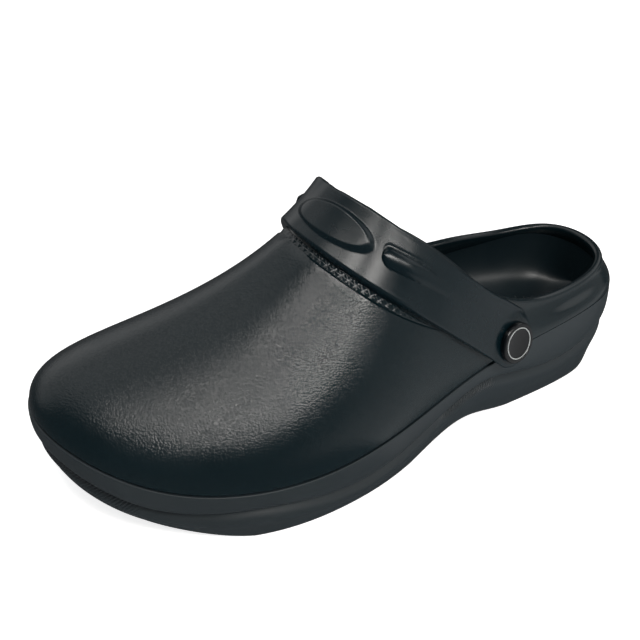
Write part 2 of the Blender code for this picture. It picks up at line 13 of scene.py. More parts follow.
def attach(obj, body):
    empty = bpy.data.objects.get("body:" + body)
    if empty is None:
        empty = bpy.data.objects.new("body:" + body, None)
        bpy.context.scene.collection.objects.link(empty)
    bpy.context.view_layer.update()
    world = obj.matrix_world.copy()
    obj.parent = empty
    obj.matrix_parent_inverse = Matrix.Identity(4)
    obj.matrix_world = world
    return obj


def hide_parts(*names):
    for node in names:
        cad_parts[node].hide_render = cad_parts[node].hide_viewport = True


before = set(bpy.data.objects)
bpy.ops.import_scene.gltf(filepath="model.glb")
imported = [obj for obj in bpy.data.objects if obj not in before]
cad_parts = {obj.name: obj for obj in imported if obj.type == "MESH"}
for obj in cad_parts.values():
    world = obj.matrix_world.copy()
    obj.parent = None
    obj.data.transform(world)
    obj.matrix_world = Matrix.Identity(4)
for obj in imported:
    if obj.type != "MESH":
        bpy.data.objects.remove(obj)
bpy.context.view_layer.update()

MM = 0.001
UP = np.array([0.0, 0.0, 1.0])
DOWN = (0, 0, -1)
WARM = "#fffcf8"
WHITE = "#ffffff"

# Driving sizes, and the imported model's origin in the tables' axes
LENGTH = 290.0
BALL_WIDTH = 110.0
INSTEP_HEIGHT = 113.5
HEEL_RIM_HEIGHT = 60.0
HEEL_SEAM_HEIGHT = 46.0
CENTRE = np.array([3.1, 1.2, 0.0])

# Walls and clearances
WALL = 4.0
GAP = 0.3
SEAM_ROUND = 1.3
SEAM_DIP = 0.55
SEAM_HEEL_SHARE = 0.3
SEAM_HEEL_END = 70.0
SEAM_HEEL_FADE = 35.0
SEAM_HEEL_CLOSED = 0.9
SEAM_CROWDING = 1.6

# Strap and rivets; the inner rivet stands further forward
STRAP_SLOPE = 38.5
STRAP_THICKNESS = 4.2
STRAP_STANDOFF = 1.4
STANDOFF_REACH = 8.0
STRAP_BACK_TRIM = 0.9
BACK_TRIM_SPAN = 40.0
STRAP_OVERHANG = 1.6
CREST_OVERHANG = 1.4
STRAP_END_RADIUS = 12.8
STRAP_END_EDGE = 1.2
STRAP_END_ROUND = 9.0
STRAP_CORNER = 1.3
STRAP_CORNER_SHARE = 0.3
STRAP_EVEN_SHARE = 0.45
STRAP_CREST_DROP = 1.4
SEAT_HEIGHT = 4.8
SEAT_FADE = 5.0
SEAT_REACH = 20.0
RIVET_ALONG = 90.8
INNER_RIVET_AHEAD = 12.0
SKEW_START = -14.0
SKEW_SPAN = 20.0
STRAP_END_HEIGHT = 48.2
RIVET_DROP = 1.4
RIVET_RADIUS = 9.5
RIVET_CAP = 2.6
SHANK_RADIUS = 3.0
INNER_HEAD_RADIUS = 6.5
INNER_HEAD = 1.8
RIVET_ROUND = 0.9
CAP_CHAMFER = 0.4
AXIS_RADIUS = 0.05
HEAD_CLEARANCE = 1.1
RING_INSIDE = 7.0
RING_OUTSIDE = 7.42
RING_SHOULDER_DROP = 0.1
RING_CROWN = 0.22
RING_FOOT_DROP = 0.28
GROOVE_DEPTH = 0.3
GROOVE_CLEARANCE = 0.1
GROOVE_FLARE = 0.35
DISH_RIM = 0.3
DISH_RIM_DROP = 0.1
DISH_SHOULDER = 1.0
DISH_SHOULDER_DROP = 0.25
DISH_DROP = 0.3

# Relief of the strap: one flat pad over the instep, a comet-shaped rib on each side of it and a low crown
PAD_RUN = 110.0
PAD_LENGTH = 21.2
PAD_WIDTH = 7.4
PAD_MIDDLE = -1.8
PAD_TILT = -0.08
PAD_HEIGHT = 0.9
PAD_FLAT_RISE = 0.9
PAD_BEVEL = 1.7
RIB_HEAD_RUN = 85.5
RIB_LENGTH = 44.0
RIB_FULL_RUN = 4.0
RIB_EVEN_RUN = 16.0
RIB_TAIL_RUN = 24.0
RIB_WIDTH = 3.5
RIB_THINNING = 0.4
RIB_NARROWEST = 0.01
RIB_HEIGHT = 1.9
RIB_MIDDLE = -1.2
RIB_TILT = 0.1
RIB_GROOVE = 0.2
RIB_GROOVE_HALF = 1.0
CROWN_HEIGHT = 0.9
CROWN_REACH = 13.0
CROWN_LEAD = 1.0
CROWN_RISE_RUN = 16.0
RELIEF_FADE = 2.0

# Textured strip in front of the strap
STRIP_FRONT = -18.5
STRIP_DEPTH = 0.7
STRIP_END_TOP = 84.0
STRIP_FADE = 14.0
STRIP_TAIL_TOP = 90.0
STRIP_CLOSING = 1.9
STRIP_STEP = 0.8
STRIP_STEP_END = 1.0
STRIP_CLIMBS = (0.35, 0.93)
STEP_CLIMB = 0.02
LAST_STEP_CLIMB = 0.97
KNURL_PITCH = 3.6
KNURL_HEIGHT = 0.45
KNURL_SHORT = 0.6
KNURL_MARGIN = 0.75
KNURL_NARROWEST = 0.3
KNURL_BORDER = 0.4
KNURL_STAND = 0.05
KNURL_ROOT = 0.5
KNURL_END_SHARE = 0.1
GRAIN_SHORT = 0.6
GRAIN_FADE = 1.2

# Sole and insole
LEDGE = WALL + 1.0
EDGE_DROP = 1.5
EDGE_THICKNESS = 3.5
EDGE_CLEARANCE = 0.45
EARLY_RISE = 0.9
BED_SIDE_POWER = 3.5
BED_END_POWER = 14
TUCK_POWER = 1.7
SEAM_LIP = 0.7
SEAM_LIP_DROP = 1.0
FOXING_BULGE = 1.0
FLUTE_LIP = 0.2
FLUTE_LIP_RISE = 2.0
FLUTE_DEPTH = 2.0
RIDGE_DROP = 4.0
RIDGE_BULGE = 0.8
FLANK_BULGE = 0.3
TREAD_ROUND = 0.8
BED_LIP = 2.0
HEEL_LIP = 9.5
HEEL_LIP_END = 92.0
HEEL_LIP_FADE = 26.0
LIP_CLEARANCE = 0.1
CUP_SIDE_POWER = 4.0
CUP_END_POWER = 16
CUP_ROUND = 2.0
INSOLE_THICKNESS = 5.0
CHANNEL_DEPTH = 3.0
CHANNEL_WALL = 0.1
CHANNEL_REACH = 0.885
CHANNEL_END = 0.012
LUG_BOW = 7.0
LUG_BOW_ENDS = 6
TREAD_ZONES = ((18.0, 90.0), (142.0, 262.0))
CELLS = 36
NUB_PITCH = 4.6
NUB_ROW_SHARE = 0.87
NUB_RADIUS = 0.8
NUB_HEIGHT = 0.6
NUB_OVAL_ALONG = 48.5
NUB_OVAL_OUT = 1.0
NUB_OVAL_HALF_LENGTH = 27.0
NUB_OVAL_HALF_WIDTH = 13.0
FLUTE_RIB_SLANT = 0.9
FLUTE_RIB_STRETCHES = ((98.0, 122.0), (270.0, 300.0))
FLUTE_RIB_FADE = 8.0
FLUTE_RIB_DROP = 1.5
FLUTE_RIB_REACH = 2.5
FLUTE_RIB_CORE = 1.6

# Finish
SHARP_ANGLE = 35.0
PEBBLE_PITCH = 0.7
RIB_PITCH = 1.6
FLOW_SIZE = 22.0
FLOW_GLOSS = 0.04
TOOTH_SIZE = 0.5
TOOTH_DEPTH = 0.05
DRAG_SIZE = 3.0
DRAG_GLOSS = 0.06
FOAM_IOR = 1.49
ABS_IOR = 1.53

# Stage and camera, in metres and degrees where not in millimetres
FLOOR_SIZE = 8.0
PAPER_IOR = 1.45
PAPER_GLOW = 0.8
ROOM_LIGHT = 0.08
FRAME_PIXELS = 640
OPTICAL_CENTRE = (357, 328)
FOCAL_PIXELS = 975
SENSOR = 36.0
CAMERA_AZIMUTH = 53.7
CAMERA_ELEVATION = 33.4
CAMERA_ROLL = 5.0
CAMERA_DISTANCE = 440.0
CAMERA_TARGET = np.array([0.0, 0.0, 45.0])

# Softboxes: spot in metres, facing, width and depth in metres, radiance and tint
SOFTBOXES = {
    "bank": ((1.07, 0.05, 1.0), DOWN, 0.4, 0.4, 15.5, WARM),
    "bank_far": ((1.37, 0.60, 1.0), DOWN, 0.5, 0.4, 7.4, WARM),
    "bank_toe": ((0.64, -0.34, 1.0), DOWN, 0.3, 0.16, 18.5, WARM),
    "bank_tip": ((0.18, -0.37, 1.0), DOWN, 0.4, 0.2, 7.6, WARM),
    "bank_left": ((-0.5, -0.2, 1.0), DOWN, 0.8, 0.9, 0.75, WHITE),
    "bank_back": ((0.2, 1.35, 1.0), DOWN, 1.6, 1.0, 0.8, WHITE),
    "left_front": ((-1.04, -0.44, 0.6), (1.04, 0.44, -0.6), 1.3, 0.9, 0.5, WHITE),
    "left": ((-1.2, 0.1, 0.4), (1.0, 0.0, -0.2), 1.2, 0.8, 0.15, WHITE),
    "low_right": ((0.7, 0.8, 0.25), (-0.7, -0.8, -0.1), 1.2, 0.5, 0.28, WHITE),
    "floor_right": ((0.36, 0.40, 0.001), (0, 0, 1), 0.6, 0.8, 0.4, WHITE),
}

# One row for each section ray, from the heel back round the lateral side to the toe and back.
# along: share of the length from the heel; out: share of half the ball width, lateral side positive;
# seam: share of the heel's seam height; top_along, top_out: the collar or throat edge in the same shares;
# top: its height, 0 at the heel rim and 1 at the instep; rise and lean: the wall's first handle, up and
# out, in mm; reach and drop: the last handle's length in mm and its angle below level in degrees.
RAY_COLUMNS = "along out seam top_along top_out top rise lean reach drop".split()
RAYS = {
    "heel_back": (-0.004, -0.02, 1.00, 0.020, -0.02, -0.01, 6, 0, 5, 80),
    "heel_corner_lateral": (0.030, 0.45, 0.99, 0.046, 0.375, -0.03, 6, 0, 5, 80),
    "heel_side_lateral": (0.131, 0.665, 0.945, 0.134, 0.55, -0.105, 6, 0, 5, 80),
    "counter_lateral": (0.241, 0.72, 0.88, 0.243, 0.61, -0.075, 7, 0, 6, 80),
    "rivet_lateral": (0.334, 0.755, 0.805, 0.335, 0.65, 0.135, 10, 1, 9, 82),
    "waist_lateral": (0.428, 0.83, 0.70, 0.410, 0.635, 0.46, 15, 2, 16, 80),
    "behind_ball_lateral": (0.534, 0.96, 0.61, 0.470, 0.535, 0.745, 20, 3, 30, 66),
    "ball_lateral": (0.662, 1.055, 0.555, 0.520, 0.38, 0.915, 21, 3, 47, 55),
    "front_ball_lateral": (0.786, 0.99, 0.57, 0.546, 0.20, 0.985, 21, 3, 61, 49),
    "toe_corner_lateral": (0.907, 0.69, 0.685, 0.554, 0.075, 1.00, 20, 3, 73, 45),
    "toe_lateral": (0.977, 0.25, 0.85, 0.557, -0.005, 1.00, 20, 2, 78, 45),
    "toe_tip": (0.996, -0.16, 0.905, 0.557, -0.065, 1.00, 23, 1.5, 79, 45),
    "toe_medial": (0.973, -0.56, 0.86, 0.555, -0.14, 0.99, 25, 1.5, 78, 48),
    "toe_corner_medial": (0.900, -0.855, 0.70, 0.550, -0.24, 0.98, 24, 2, 75, 54),
    "front_ball_medial": (0.779, -0.945, 0.58, 0.535, -0.37, 0.885, 15, 2, 62, 62),
    "ball_medial": (0.655, -0.895, 0.56, 0.507, -0.50, 0.73, 17, 2, 46, 67),
    "behind_ball_medial": (0.534, -0.77, 0.61, 0.465, -0.595, 0.50, 17, 2, 27, 74),
    "waist_medial": (0.428, -0.685, 0.70, 0.403, -0.645, 0.22, 12, 2, 13, 82),
    "rivet_medial": (0.334, -0.68, 0.805, 0.331, -0.645, -0.05, 8, 1, 7, 84),
    "counter_medial": (0.241, -0.71, 0.88, 0.243, -0.61, -0.075, 7, 0, 6, 80),
    "heel_side_medial": (0.131, -0.69, 0.945, 0.134, -0.575, -0.105, 6, 0, 5, 80),
    "heel_corner_medial": (0.031, -0.475, 0.99, 0.047, -0.40, -0.055, 6, 0, 5, 80),
}

# One row for each station of the sole. along: share of the length; flute: height of the groove that waves
# along the side; spring: height of the tread's edge, flat on the floor where it is below 0; tuck: how far
# that edge lies inside the outline; bed: height of the foot bed at its middle.
SOLE_COLUMNS = "along flute spring tuck bed".split()
SOLE = {
    "heel_back": (0.00, 30.0, 4.0, 4.0, 25.0),
    "heel_bevel": (0.05, 26.5, 1.0, 4.0, 25.0),
    "heel_front_of_bevel": (0.12, 20.5, -0.8, 4.5, 25.0),
    "heel_middle": (0.21, 19.0, -0.8, 5.0, 25.0),
    "heel_breast": (0.29, 23.0, 1.0, 5.5, 25.0),
    "arch": (0.355, 25.5, 4.0, 6.0, 24.5),
    "behind_ball": (0.43, 20.5, 2.0, 5.0, 23.0),
    "tread_back": (0.52, 13.5, -0.4, 2.4, 20.5),
    "ball": (0.63, 11.0, -0.8, 1.8, 18.0),
    "tread_front": (0.77, 15.5, -0.2, 3.0, 17.5),
    "toe_break": (0.87, 16.5, 5.5, 5.0, 20.5),
    "toe_lift": (0.95, 22.5, 13.5, 5.0, 25.0),
    "toe_tip": (1.00, 31.0, 21.0, 5.5, 28.0),
}


# Curves and the shoe's own coordinates


def spline(knots, values, at, period=None):
    """Cubic spline through a column of values: closed round a period, or with natural ends.

    Second slopes come from the usual three-term system; each stretch is then a cubic in its own distance.
    """
    knots = np.asarray(knots, float)
    values = np.asarray(values, float)
    at = np.asarray(at, float)
    if period:
        at = (at - knots[0]) % period + knots[0]
        knots = np.append(knots, knots[0] + period)
        values = np.append(values, values[0])
    step = np.diff(knots)
    slope = np.diff(values) / step
    last = len(step)
    inner = np.arange(1, last)
    matrix = np.eye(last + 1)
    right = np.zeros(last + 1)
    matrix[inner, inner - 1] = step[:-1]
    matrix[inner, inner] = 2 * (step[:-1] + step[1:])
    matrix[inner, inner + 1] = step[1:]
    right[inner] = 6 * np.diff(slope)
    if period:
        matrix[0, [last - 1, 0, 1]] = step[-1], 2 * (step[-1] + step[0]), step[0]
        right[0] = 6 * (slope[0] - slope[-1])
        matrix[last, [0, last]] = 1, -1
    bend = np.linalg.solve(matrix, right)
    k = np.clip(np.searchsorted(knots, at, side="right") - 1, 0, last - 1)
    d = at - knots[k]
    low = bend[k]
    high = bend[k + 1]
    first = slope[k] - step[k] * (2 * low + high) / 6
    return values[k] + d * (first + d * (low / 2 + d * (high - low) / (6 * step[k])))


def smooth(share):
    """0 below 0, 1 above 1 and an even S between: three squares less two cubes."""
    share = np.clip(share, 0, 1)
    return share * share * (3 - 2 * share)


def round_off(share):
    """Quarter circle: 0 at 0, rising steeply, 1 from 1 on."""
    return np.sqrt(1 - (1 - np.clip(share, 0, 1)) ** 2)


def unit(vectors):
    """Vectors divided by their own lengths."""
    return vectors / np.linalg.norm(vectors, axis=-1, keepdims=True)


def ray_sizes():
    """The ray table turned into millimetres, a column each."""
    table = dict(zip(RAY_COLUMNS, np.array(list(RAYS.values()), float).T))
    for name in ("along", "top_along"):
        table[name] = table[name] * LENGTH
    for name in ("out", "top_out"):
        table[name] = table[name] * BALL_WIDTH / 2
    table["seam"] = table["seam"] * HEEL_SEAM_HEIGHT
    table["top"] = HEEL_RIM_HEIGHT + table["top"] * (INSTEP_HEIGHT - HEEL_RIM_HEIGHT)
    return table


RAY = ray_sizes()
CHORDS = np.hypot(np.roll(RAY["along"], -1) - RAY["along"], np.roll(RAY["out"], -1) - RAY["out"])
KNOTS = np.cumsum(CHORDS) - CHORDS
AROUND = CHORDS.sum()
TOE_RAY = KNOTS[list(RAYS).index("toe_tip")]


def ray(around, name):
    """A column of the ray table at any place around the outline, by closed spline."""
    return spline(KNOTS, RAY[name], around, AROUND)


def sole(along, name):
    """A column of the sole table at any station, by natural spline."""
    rows = np.array(list(SOLE.values())).T
    return spline(rows[0] * LENGTH, rows[SOLE_COLUMNS.index(name)], along)


def place(along, out, high):
    """Point of a station, a side distance and a height."""
    return np.stack(np.broadcast_arrays(out, LENGTH / 2 - np.asarray(along), high), axis=-1)


def outward(around):
    """Unit direction out of the outline in plan: the outline's run, turned a quarter."""
    half = 0.5
    run = place(ray(around + half, "along"), ray(around + half, "out"), 0.0)
    run = unit(run - place(ray(around - half, "along"), ray(around - half, "out"), 0.0))
    return np.stack([-run[..., 1], run[..., 0], np.zeros(run.shape[:-1])], axis=-1)


def last_face(around, climb):
    """Outer face of the upper before its step: on each ray a cubic Bezier from the seam to the edge.

    The first handle goes up by rise and out by lean; the last one runs back down from the edge by reach.
    """
    around, climb = np.broadcast_arrays(np.asarray(around, float), np.asarray(climb, float))
    size = {name: ray(around, name)[..., None] for name in RAY_COLUMNS}
    start = place(size["along"], size["out"], size["seam"])[..., 0, :]
    end = place(size["top_along"], size["top_out"], size["top"])[..., 0, :]
    level = unit((start - end) * [1, 1, 0])
    drop = np.radians(size["drop"])
    first = start + size["rise"] * UP + size["lean"] * outward(around)
    second = end + size["reach"] * (np.cos(drop) * level - np.sin(drop) * UP)
    t = climb[..., None]
    s = 1 - t
    return s**3 * start + 3 * s * s * t * first + 3 * s * t * t * second + t**3 * end


def last_normal(around, climb):
    """Unit normal of the outer face: the cross product of small steps up and along."""
    step = 0.5
    share = 0.01
    along = last_face(around + step, climb) - last_face(around - step, climb)
    up = last_face(around, climb + share) - last_face(around, climb - share)
    return unit(np.cross(up, along))


def band_height(points):
    """Distance above the strap's middle line in side view, square to the strap's slope."""
    slope = np.radians(STRAP_SLOPE)
    skew = INNER_RIVET_AHEAD * smooth((SKEW_START - points[..., 0]) / SKEW_SPAN)
    ahead = LENGTH / 2 - points[..., 1] - RIVET_ALONG - skew
    above = points[..., 2] - STRAP_END_HEIGHT
    return above * np.cos(slope) - ahead * np.sin(slope)


def climb_where(around, measure, wanted):
    """Climb at which a measure of each ray's points reaches wanted values; around is one value a row."""
    fine = np.linspace(0, 1, 121)
    line = measure(last_face(around[:, None], fine[None, :]))
    return np.array([np.interp(value, row, fine) for value, row in zip(wanted, line)])


def climb_at(around, heights):
    """Climb at which each ray reaches given band heights."""
    return climb_where(around, band_height, heights)


def strip_front(around):
    """Band height of the textured strip's front line, which closes up to the strap down the sides."""
    top = ray(around, "top")
    down = smooth((INSTEP_HEIGHT - top) / (INSTEP_HEIGHT - HEEL_RIM_HEIGHT) * STRIP_CLOSING)
    return STRIP_FRONT + (-STRAP_END_RADIUS - STRIP_FRONT) * down


def strip_share(around):
    """1 over the instep and 0 down the sides, where the textured strip has run out."""
    return smooth((ray(around, "top") - STRIP_TAIL_TOP) / STRIP_FADE)


def upper_face(around, climb):
    """Outer face of the upper: the last's face, stepped in behind the textured strip's front line."""
    around, climb = np.broadcast_arrays(np.asarray(around, float), np.asarray(climb, float))
    points = last_face(around, climb)
    behind = smooth((band_height(points) - strip_front(around)) / STRIP_STEP)
    return points - (STRIP_DEPTH * behind * strip_share(around))[..., None] * last_normal(around, climb)


def stations(shares):
    """Places around the outline at shares of the way from heel to toe: the lateral side, then the medial."""
    lateral = TOE_RAY * shares
    medial = AROUND - (AROUND - TOE_RAY) * shares[::-1]
    return np.append(lateral, medial[1:-1])


def rim(around, inset, high):
    """Ring of points inside the outline by an inset, at given heights."""
    inset = np.broadcast_to(inset, around.shape)
    points = place(ray(around, "along"), ray(around, "out"), high)
    return points - inset[:, None] * outward(around)


def grid_faces(rows, columns, close_rows=False, close_columns=False):
    """Quads of a grid of points, whose rows or columns may close into a ring."""
    index = np.arange(rows * columns).reshape(rows, columns)
    if close_rows:
        index = np.vstack([index, index[:1]])
    if close_columns:
        index = np.hstack([index, index[:, :1]])
    corners = index[:-1, :-1], index[:-1, 1:], index[1:, 1:], index[1:, :-1]
    return np.stack(corners, axis=-1).reshape(-1, 4)


# Surfaces of the pieces


def seam_share(along):
    """How deep the seam is pressed in: fully ahead of the rivets, and only a soft crease round the heel."""
    return SEAM_HEEL_SHARE + (1 - SEAM_HEEL_SHARE) * smooth((along - SEAM_HEEL_END) / SEAM_HEEL_FADE)


def upper_surface():
    """Closed section on each ray: outer face up, half-round edge, inner face down to the seam.

    Columns are close at the seam, whose edge is rounded by a quarter circle, and at the strip's step.
    Gives points, faces and how much grain each point carries: all of it in front of the strip.
    """
    around = stations(np.linspace(0, 1, 171))
    front = np.clip(climb_at(around, strip_front(around)[:, None])[:, 0], *STRIP_CLIMBS)[:, None]
    back = climb_at(around, strip_front(around)[:, None] + STRIP_STEP_END)
    back = np.clip(back, front + STEP_CLIMB, LAST_STEP_CLIMB)
    low = np.linspace(0, 1, 72) ** SEAM_CROWDING
    high = np.linspace(0, 1, 26)
    climbs = np.hstack([front * low, front + (back - front) * [[0.25, 0.5, 0.75]], back + (1 - back) * high])
    outer = upper_face(around[:, None], climbs)
    normal = last_normal(around[:, None], climbs)
    from_seam = np.linalg.norm(outer - outer[:, :1], axis=-1)
    pressed = seam_share(ray(around, "along"))[:, None]
    outer = outer - (SEAM_DIP * pressed * (1 - round_off(from_seam / SEAM_ROUND)))[..., None] * normal
    outer[:, 0, 2] -= SEAM_HEEL_CLOSED * GAP * (1 - pressed[:, 0])
    past_front = band_height(outer) - strip_front(around)[:, None]
    grain = 1 - smooth((past_front + GRAIN_SHORT) / GRAIN_FADE)
    inner_climbs = np.linspace(1, 0, 40)
    inner = last_face(around[:, None], inner_climbs) - WALL * last_normal(around[:, None], inner_climbs)
    inner[:, -1, 2] = ray(around, "seam")
    middle = (outer[:, -1] + inner[:, 0]) / 2
    across = (outer[:, -1] - inner[:, 0]) / 2
    onward = np.cross(unit(across), unit(np.roll(middle, -1, axis=0) - np.roll(middle, 1, axis=0)))
    onward *= np.sign((onward * (outer[:, -1] - outer[:, -2])).sum(axis=1))[:, None]
    size = np.linalg.norm(across, axis=1)[:, None, None]
    turn = np.radians(np.arange(15, 180, 15))[None, :, None]
    edge = middle[:, None] + np.cos(turn) * across[:, None] + np.sin(turn) * size * onward[:, None]
    points = np.concatenate([outer, edge, inner], axis=1)
    plain = np.zeros(points.shape[:2])
    plain[:, : grain.shape[1]] = grain
    faces = grid_faces(*points.shape[:2], close_rows=True, close_columns=True)
    return points.reshape(-1, 3), faces.tolist(), {"grain": plain.ravel()}


def sole_profile(around):
    """Heights and insets of the sole's side at nine levels, from the seam down to the tread.

    Foxing band, flute, ridge and tucked tread edge; the tuck grows with the share of the way down.
    """
    along = ray(around, "along")
    seam = ray(around, "seam") - GAP
    flute = sole(along, "flute")
    spring = np.maximum(sole(along, "spring"), 0)
    ridge = flute - RIDGE_DROP
    levels = (
        (seam, 0.0),
        (seam - SEAM_LIP_DROP, SEAM_LIP * seam_share(along)),
        (seam * 0.5 + flute * 0.5, FOXING_BULGE),
        (flute + FLUTE_LIP_RISE, FLUTE_LIP),
        (flute, -FLUTE_DEPTH),
        (ridge, RIDGE_BULGE),
        (ridge * 0.5 + spring * 0.5, FLANK_BULGE),
        (spring + TREAD_ROUND, 0.0),
        (spring, -TREAD_ROUND),
    )
    heights = np.array([high for high, _ in levels])
    relief = np.array([out + 0 * along for _, out in levels])
    share = (seam - heights) / (seam - spring)
    return heights, sole(along, "tuck") * share**TUCK_POWER - relief


def sole_side(around, steps):
    """Rings of the side between those levels: a spline through the nine levels, the same for every ray."""
    heights, insets = sole_profile(around)
    level = np.arange(len(heights))
    fine = np.linspace(0, len(heights) - 1, steps)
    basis = np.stack([spline(level, row, fine) for row in np.eye(len(heights))], axis=1)
    heights = np.maximum(basis @ heights, 0)
    return [rim(around, inset, high) for inset, high in zip(basis @ insets, heights)]


def bowl(boundary, along, across, bed, early=0.0):
    """Height of the foot bed's bowl: the bed in the middle, rising to the boundary at sides and ends.

    The rise goes with a high power of the distance across and along; early starts it that much sooner.
    """
    length_share = np.clip((np.abs(along - LENGTH / 2) + early) * 2 / LENGTH, 0, 1)
    rise = 1 - (1 - np.abs(across) ** BED_SIDE_POWER) * (1 - length_share**BED_END_POWER)
    return bed + (boundary - bed) * rise


def cup(boundary, along, across, bed):
    """Height of the foot bed's top: like the bowl, but turning up round into the wall like an ellipse."""
    length_share = np.clip(np.abs(along - LENGTH / 2) * 2 / LENGTH, 0, 1)
    inside = (1 - np.abs(across) ** CUP_SIDE_POWER) * (1 - length_share**CUP_END_POWER)
    return bed + (boundary - bed) * (1 - np.clip(inside, 0, 1) ** (1 / CUP_ROUND))


def bed_lip(along):
    """Height of the foot bed's edge over the seam: tall round the heel, low from the rivets on."""
    return BED_LIP + (HEEL_LIP - BED_LIP) * smooth((HEEL_LIP_END - along) / HEEL_LIP_FADE)


def cap(ring, columns, height, first_index, ring_index, bow=0.0):
    """Fills a ring by rows from its lateral to its medial side: inner points and faces.

    Each row is a straight line cut at the columns' shares, bowed towards the toe, and lifted to
    height(boundary, along, across, row).
    """
    half = len(ring) // 2
    rows = np.arange(1, half)
    share = np.asarray(columns[1:-1])[None, :, None]
    lateral = ring[rows][:, None, :]
    medial = ring[len(ring) - rows][:, None, :]
    points = lateral + (medial - lateral) * share
    across = 2 * share[..., 0] - 1 + 0 * points[..., 2]
    ends = np.minimum(rows, half - rows)[:, None] / half
    points[..., 1] -= bow * (1 - across**2) * np.clip(ends * LUG_BOW_ENDS, 0, 1)
    points[..., 2] = height(points[..., 2], LENGTH / 2 - points[..., 1], across, rows[:, None])
    count = len(columns) - 2
    index = np.empty((half + 1, count + 2), int)
    index[1:half, 1:-1] = first_index + np.arange((half - 1) * count).reshape(half - 1, count)
    index[1:half, 0] = ring_index[rows]
    index[1:half, -1] = ring_index[len(ring) - rows]
    index[0] = ring_index[0]
    index[half] = ring_index[half]
    corners = np.stack([index[:-1, :-1], index[1:, :-1], index[1:, 1:], index[:-1, 1:]], axis=-1)
    quads = corners[1:-1].reshape(-1, 4).tolist()
    ends = corners[0][:, :3].tolist() + corners[-1][:, [0, 1, 3]].tolist()
    return points.reshape(-1, 3), quads + ends


def capped_rings(rings, top, bottom, columns, bow=0.0):
    """Points and faces of a solid: rings from top to bottom, closed by a cap at each end."""
    grid = np.stack(rings, axis=1)
    count, levels = grid.shape[:2]
    faces = grid_faces(count, levels, close_rows=True).tolist()
    ring_index = np.arange(count) * levels
    over, over_faces = cap(rings[0], columns, top, count * levels, ring_index)
    start = count * levels + len(over)
    under, under_faces = cap(rings[-1], columns, bottom, start, ring_index + levels - 1, bow)
    points = np.vstack([grid.reshape(-1, 3), over, under])
    return points, faces + [face[::-1] for face in over_faces] + under_faces


def channel_rows():
    """Rows of the tread that are sunk: every second one whose middle lies within a tread zone."""
    middle = ray(TOE_RAY * (np.arange(CELLS) + 0.5) / CELLS, "along")
    inside = np.zeros(CELLS, bool)
    for start, end in TREAD_ZONES:
        inside |= (middle > start) & (middle < end)
    return inside & (np.arange(CELLS) % 2 == 1)


def sole_surface():
    """Ledge under the upper, well for the insole, fluted side, and lugs left between sunk rows of tread.

    A sunk row's wall rises over a small share of the row, and of the width beside the tread's edge,
    where the columns are close.
    Gives points, faces, and for the ribbed part of the flute the place around and how much rib shows.
    """
    half_wall = CHANNEL_WALL / 2
    splits = np.append(0, np.linspace(half_wall, 1 - half_wall, 7))
    shares = np.append((np.arange(CELLS)[:, None] + splits).ravel(), CELLS) / CELLS
    around = stations(shares)
    ledge = ray(around, "seam") - GAP
    well = ledge - EDGE_DROP - EDGE_THICKNESS
    side = sole_side(around, 65)
    rings = [rim(around, LEDGE, well), rim(around, LEDGE, ledge)] + side
    sunk = channel_rows()

    def well_floor(boundary, along, across, row):
        return bowl(boundary, along, across, sole(along, "bed") - INSOLE_THICKNESS - GAP)

    def tread(boundary, along, across, row):
        cell = shares[row] * CELLS
        into = (cell + half_wall) % 1
        here = np.floor(cell + half_wall).astype(int) % CELLS
        risen = smooth(into / CHANNEL_WALL)
        depth = sunk[here] * risen + sunk[here - 1] * (1 - risen)
        middle = smooth((CHANNEL_REACH - np.abs(across)) / CHANNEL_END)
        return np.maximum(sole(along, "spring"), 0) + CHANNEL_DEPTH * depth * middle

    edge = np.array([0, 0.02, 0.04, 0.055, 0.0585, 0.062, 0.075])
    columns = np.concatenate([edge, np.linspace(0.1, 0.9, 25), 1 - edge[::-1]])
    points, faces = capped_rings(rings, well_floor, tread, columns, LUG_BOW)
    along = LENGTH / 2 - points[:, 1]
    flute = sole(along, "flute")
    near_flute = smooth(FLUTE_RIB_CORE - np.abs(points[:, 2] - flute + FLUTE_RIB_DROP) / FLUTE_RIB_REACH)
    stretch = np.zeros(len(points))
    for start, end in FLUTE_RIB_STRETCHES:
        stretch += smooth((along - start) / FLUTE_RIB_FADE + 1) * smooth((end - along) / FLUTE_RIB_FADE + 1)
    count = len(around) * len(rings)
    rib = np.where(np.arange(len(points)) < count, near_flute * stretch, 0)
    run = np.zeros(len(points))
    run[:count] = np.repeat(around, len(rings))
    run = (run + FLUTE_RIB_SLANT * (points[:, 2] - flute)) * MM
    return points, faces, {"rib": rib, "run": run}


def insole_surface():
    """A cupped sheet in the sole's well whose lip runs up to the upper's inner wall, so the bed is one bowl.

    The lip's ring lies on the wall's inner face, a small climb above the seam, just clear of it.
    """
    around = stations(np.linspace(0, 1, 151))
    seam = ray(around, "seam") - GAP
    lip_height = last_face(around, 0.0)[:, 2] + bed_lip(ray(around, "along"))
    climb = climb_where(around, lambda points: points[..., 2], lip_height)
    lip = last_face(around, climb) - (WALL + LIP_CLEARANCE) * last_normal(around, climb)
    inset = LEDGE + EDGE_CLEARANCE
    edge = seam - EDGE_DROP
    rings = [lip, rim(around, inset, edge), rim(around, inset, edge - EDGE_THICKNESS + GAP)]

    def top(boundary, along, across, row):
        return cup(boundary, along, across, sole(along, "bed"))

    def underside(boundary, along, across, row):
        return bowl(boundary, along, across, sole(along, "bed") - INSOLE_THICKNESS, EARLY_RISE)

    columns = 0.5 - 0.5 * np.cos(np.pi * np.linspace(0, 1, 61))
    points, faces = capped_rings(rings, top, underside, columns)
    return points, faces, {}


def station_ray(along, side):
    """Place around the outline of stations on one side: side is +1 lateral, -1 medial."""
    fine = np.linspace(0 if side > 0 else AROUND, TOE_RAY, 400)
    return np.interp(along, ray(fine, "along"), fine)


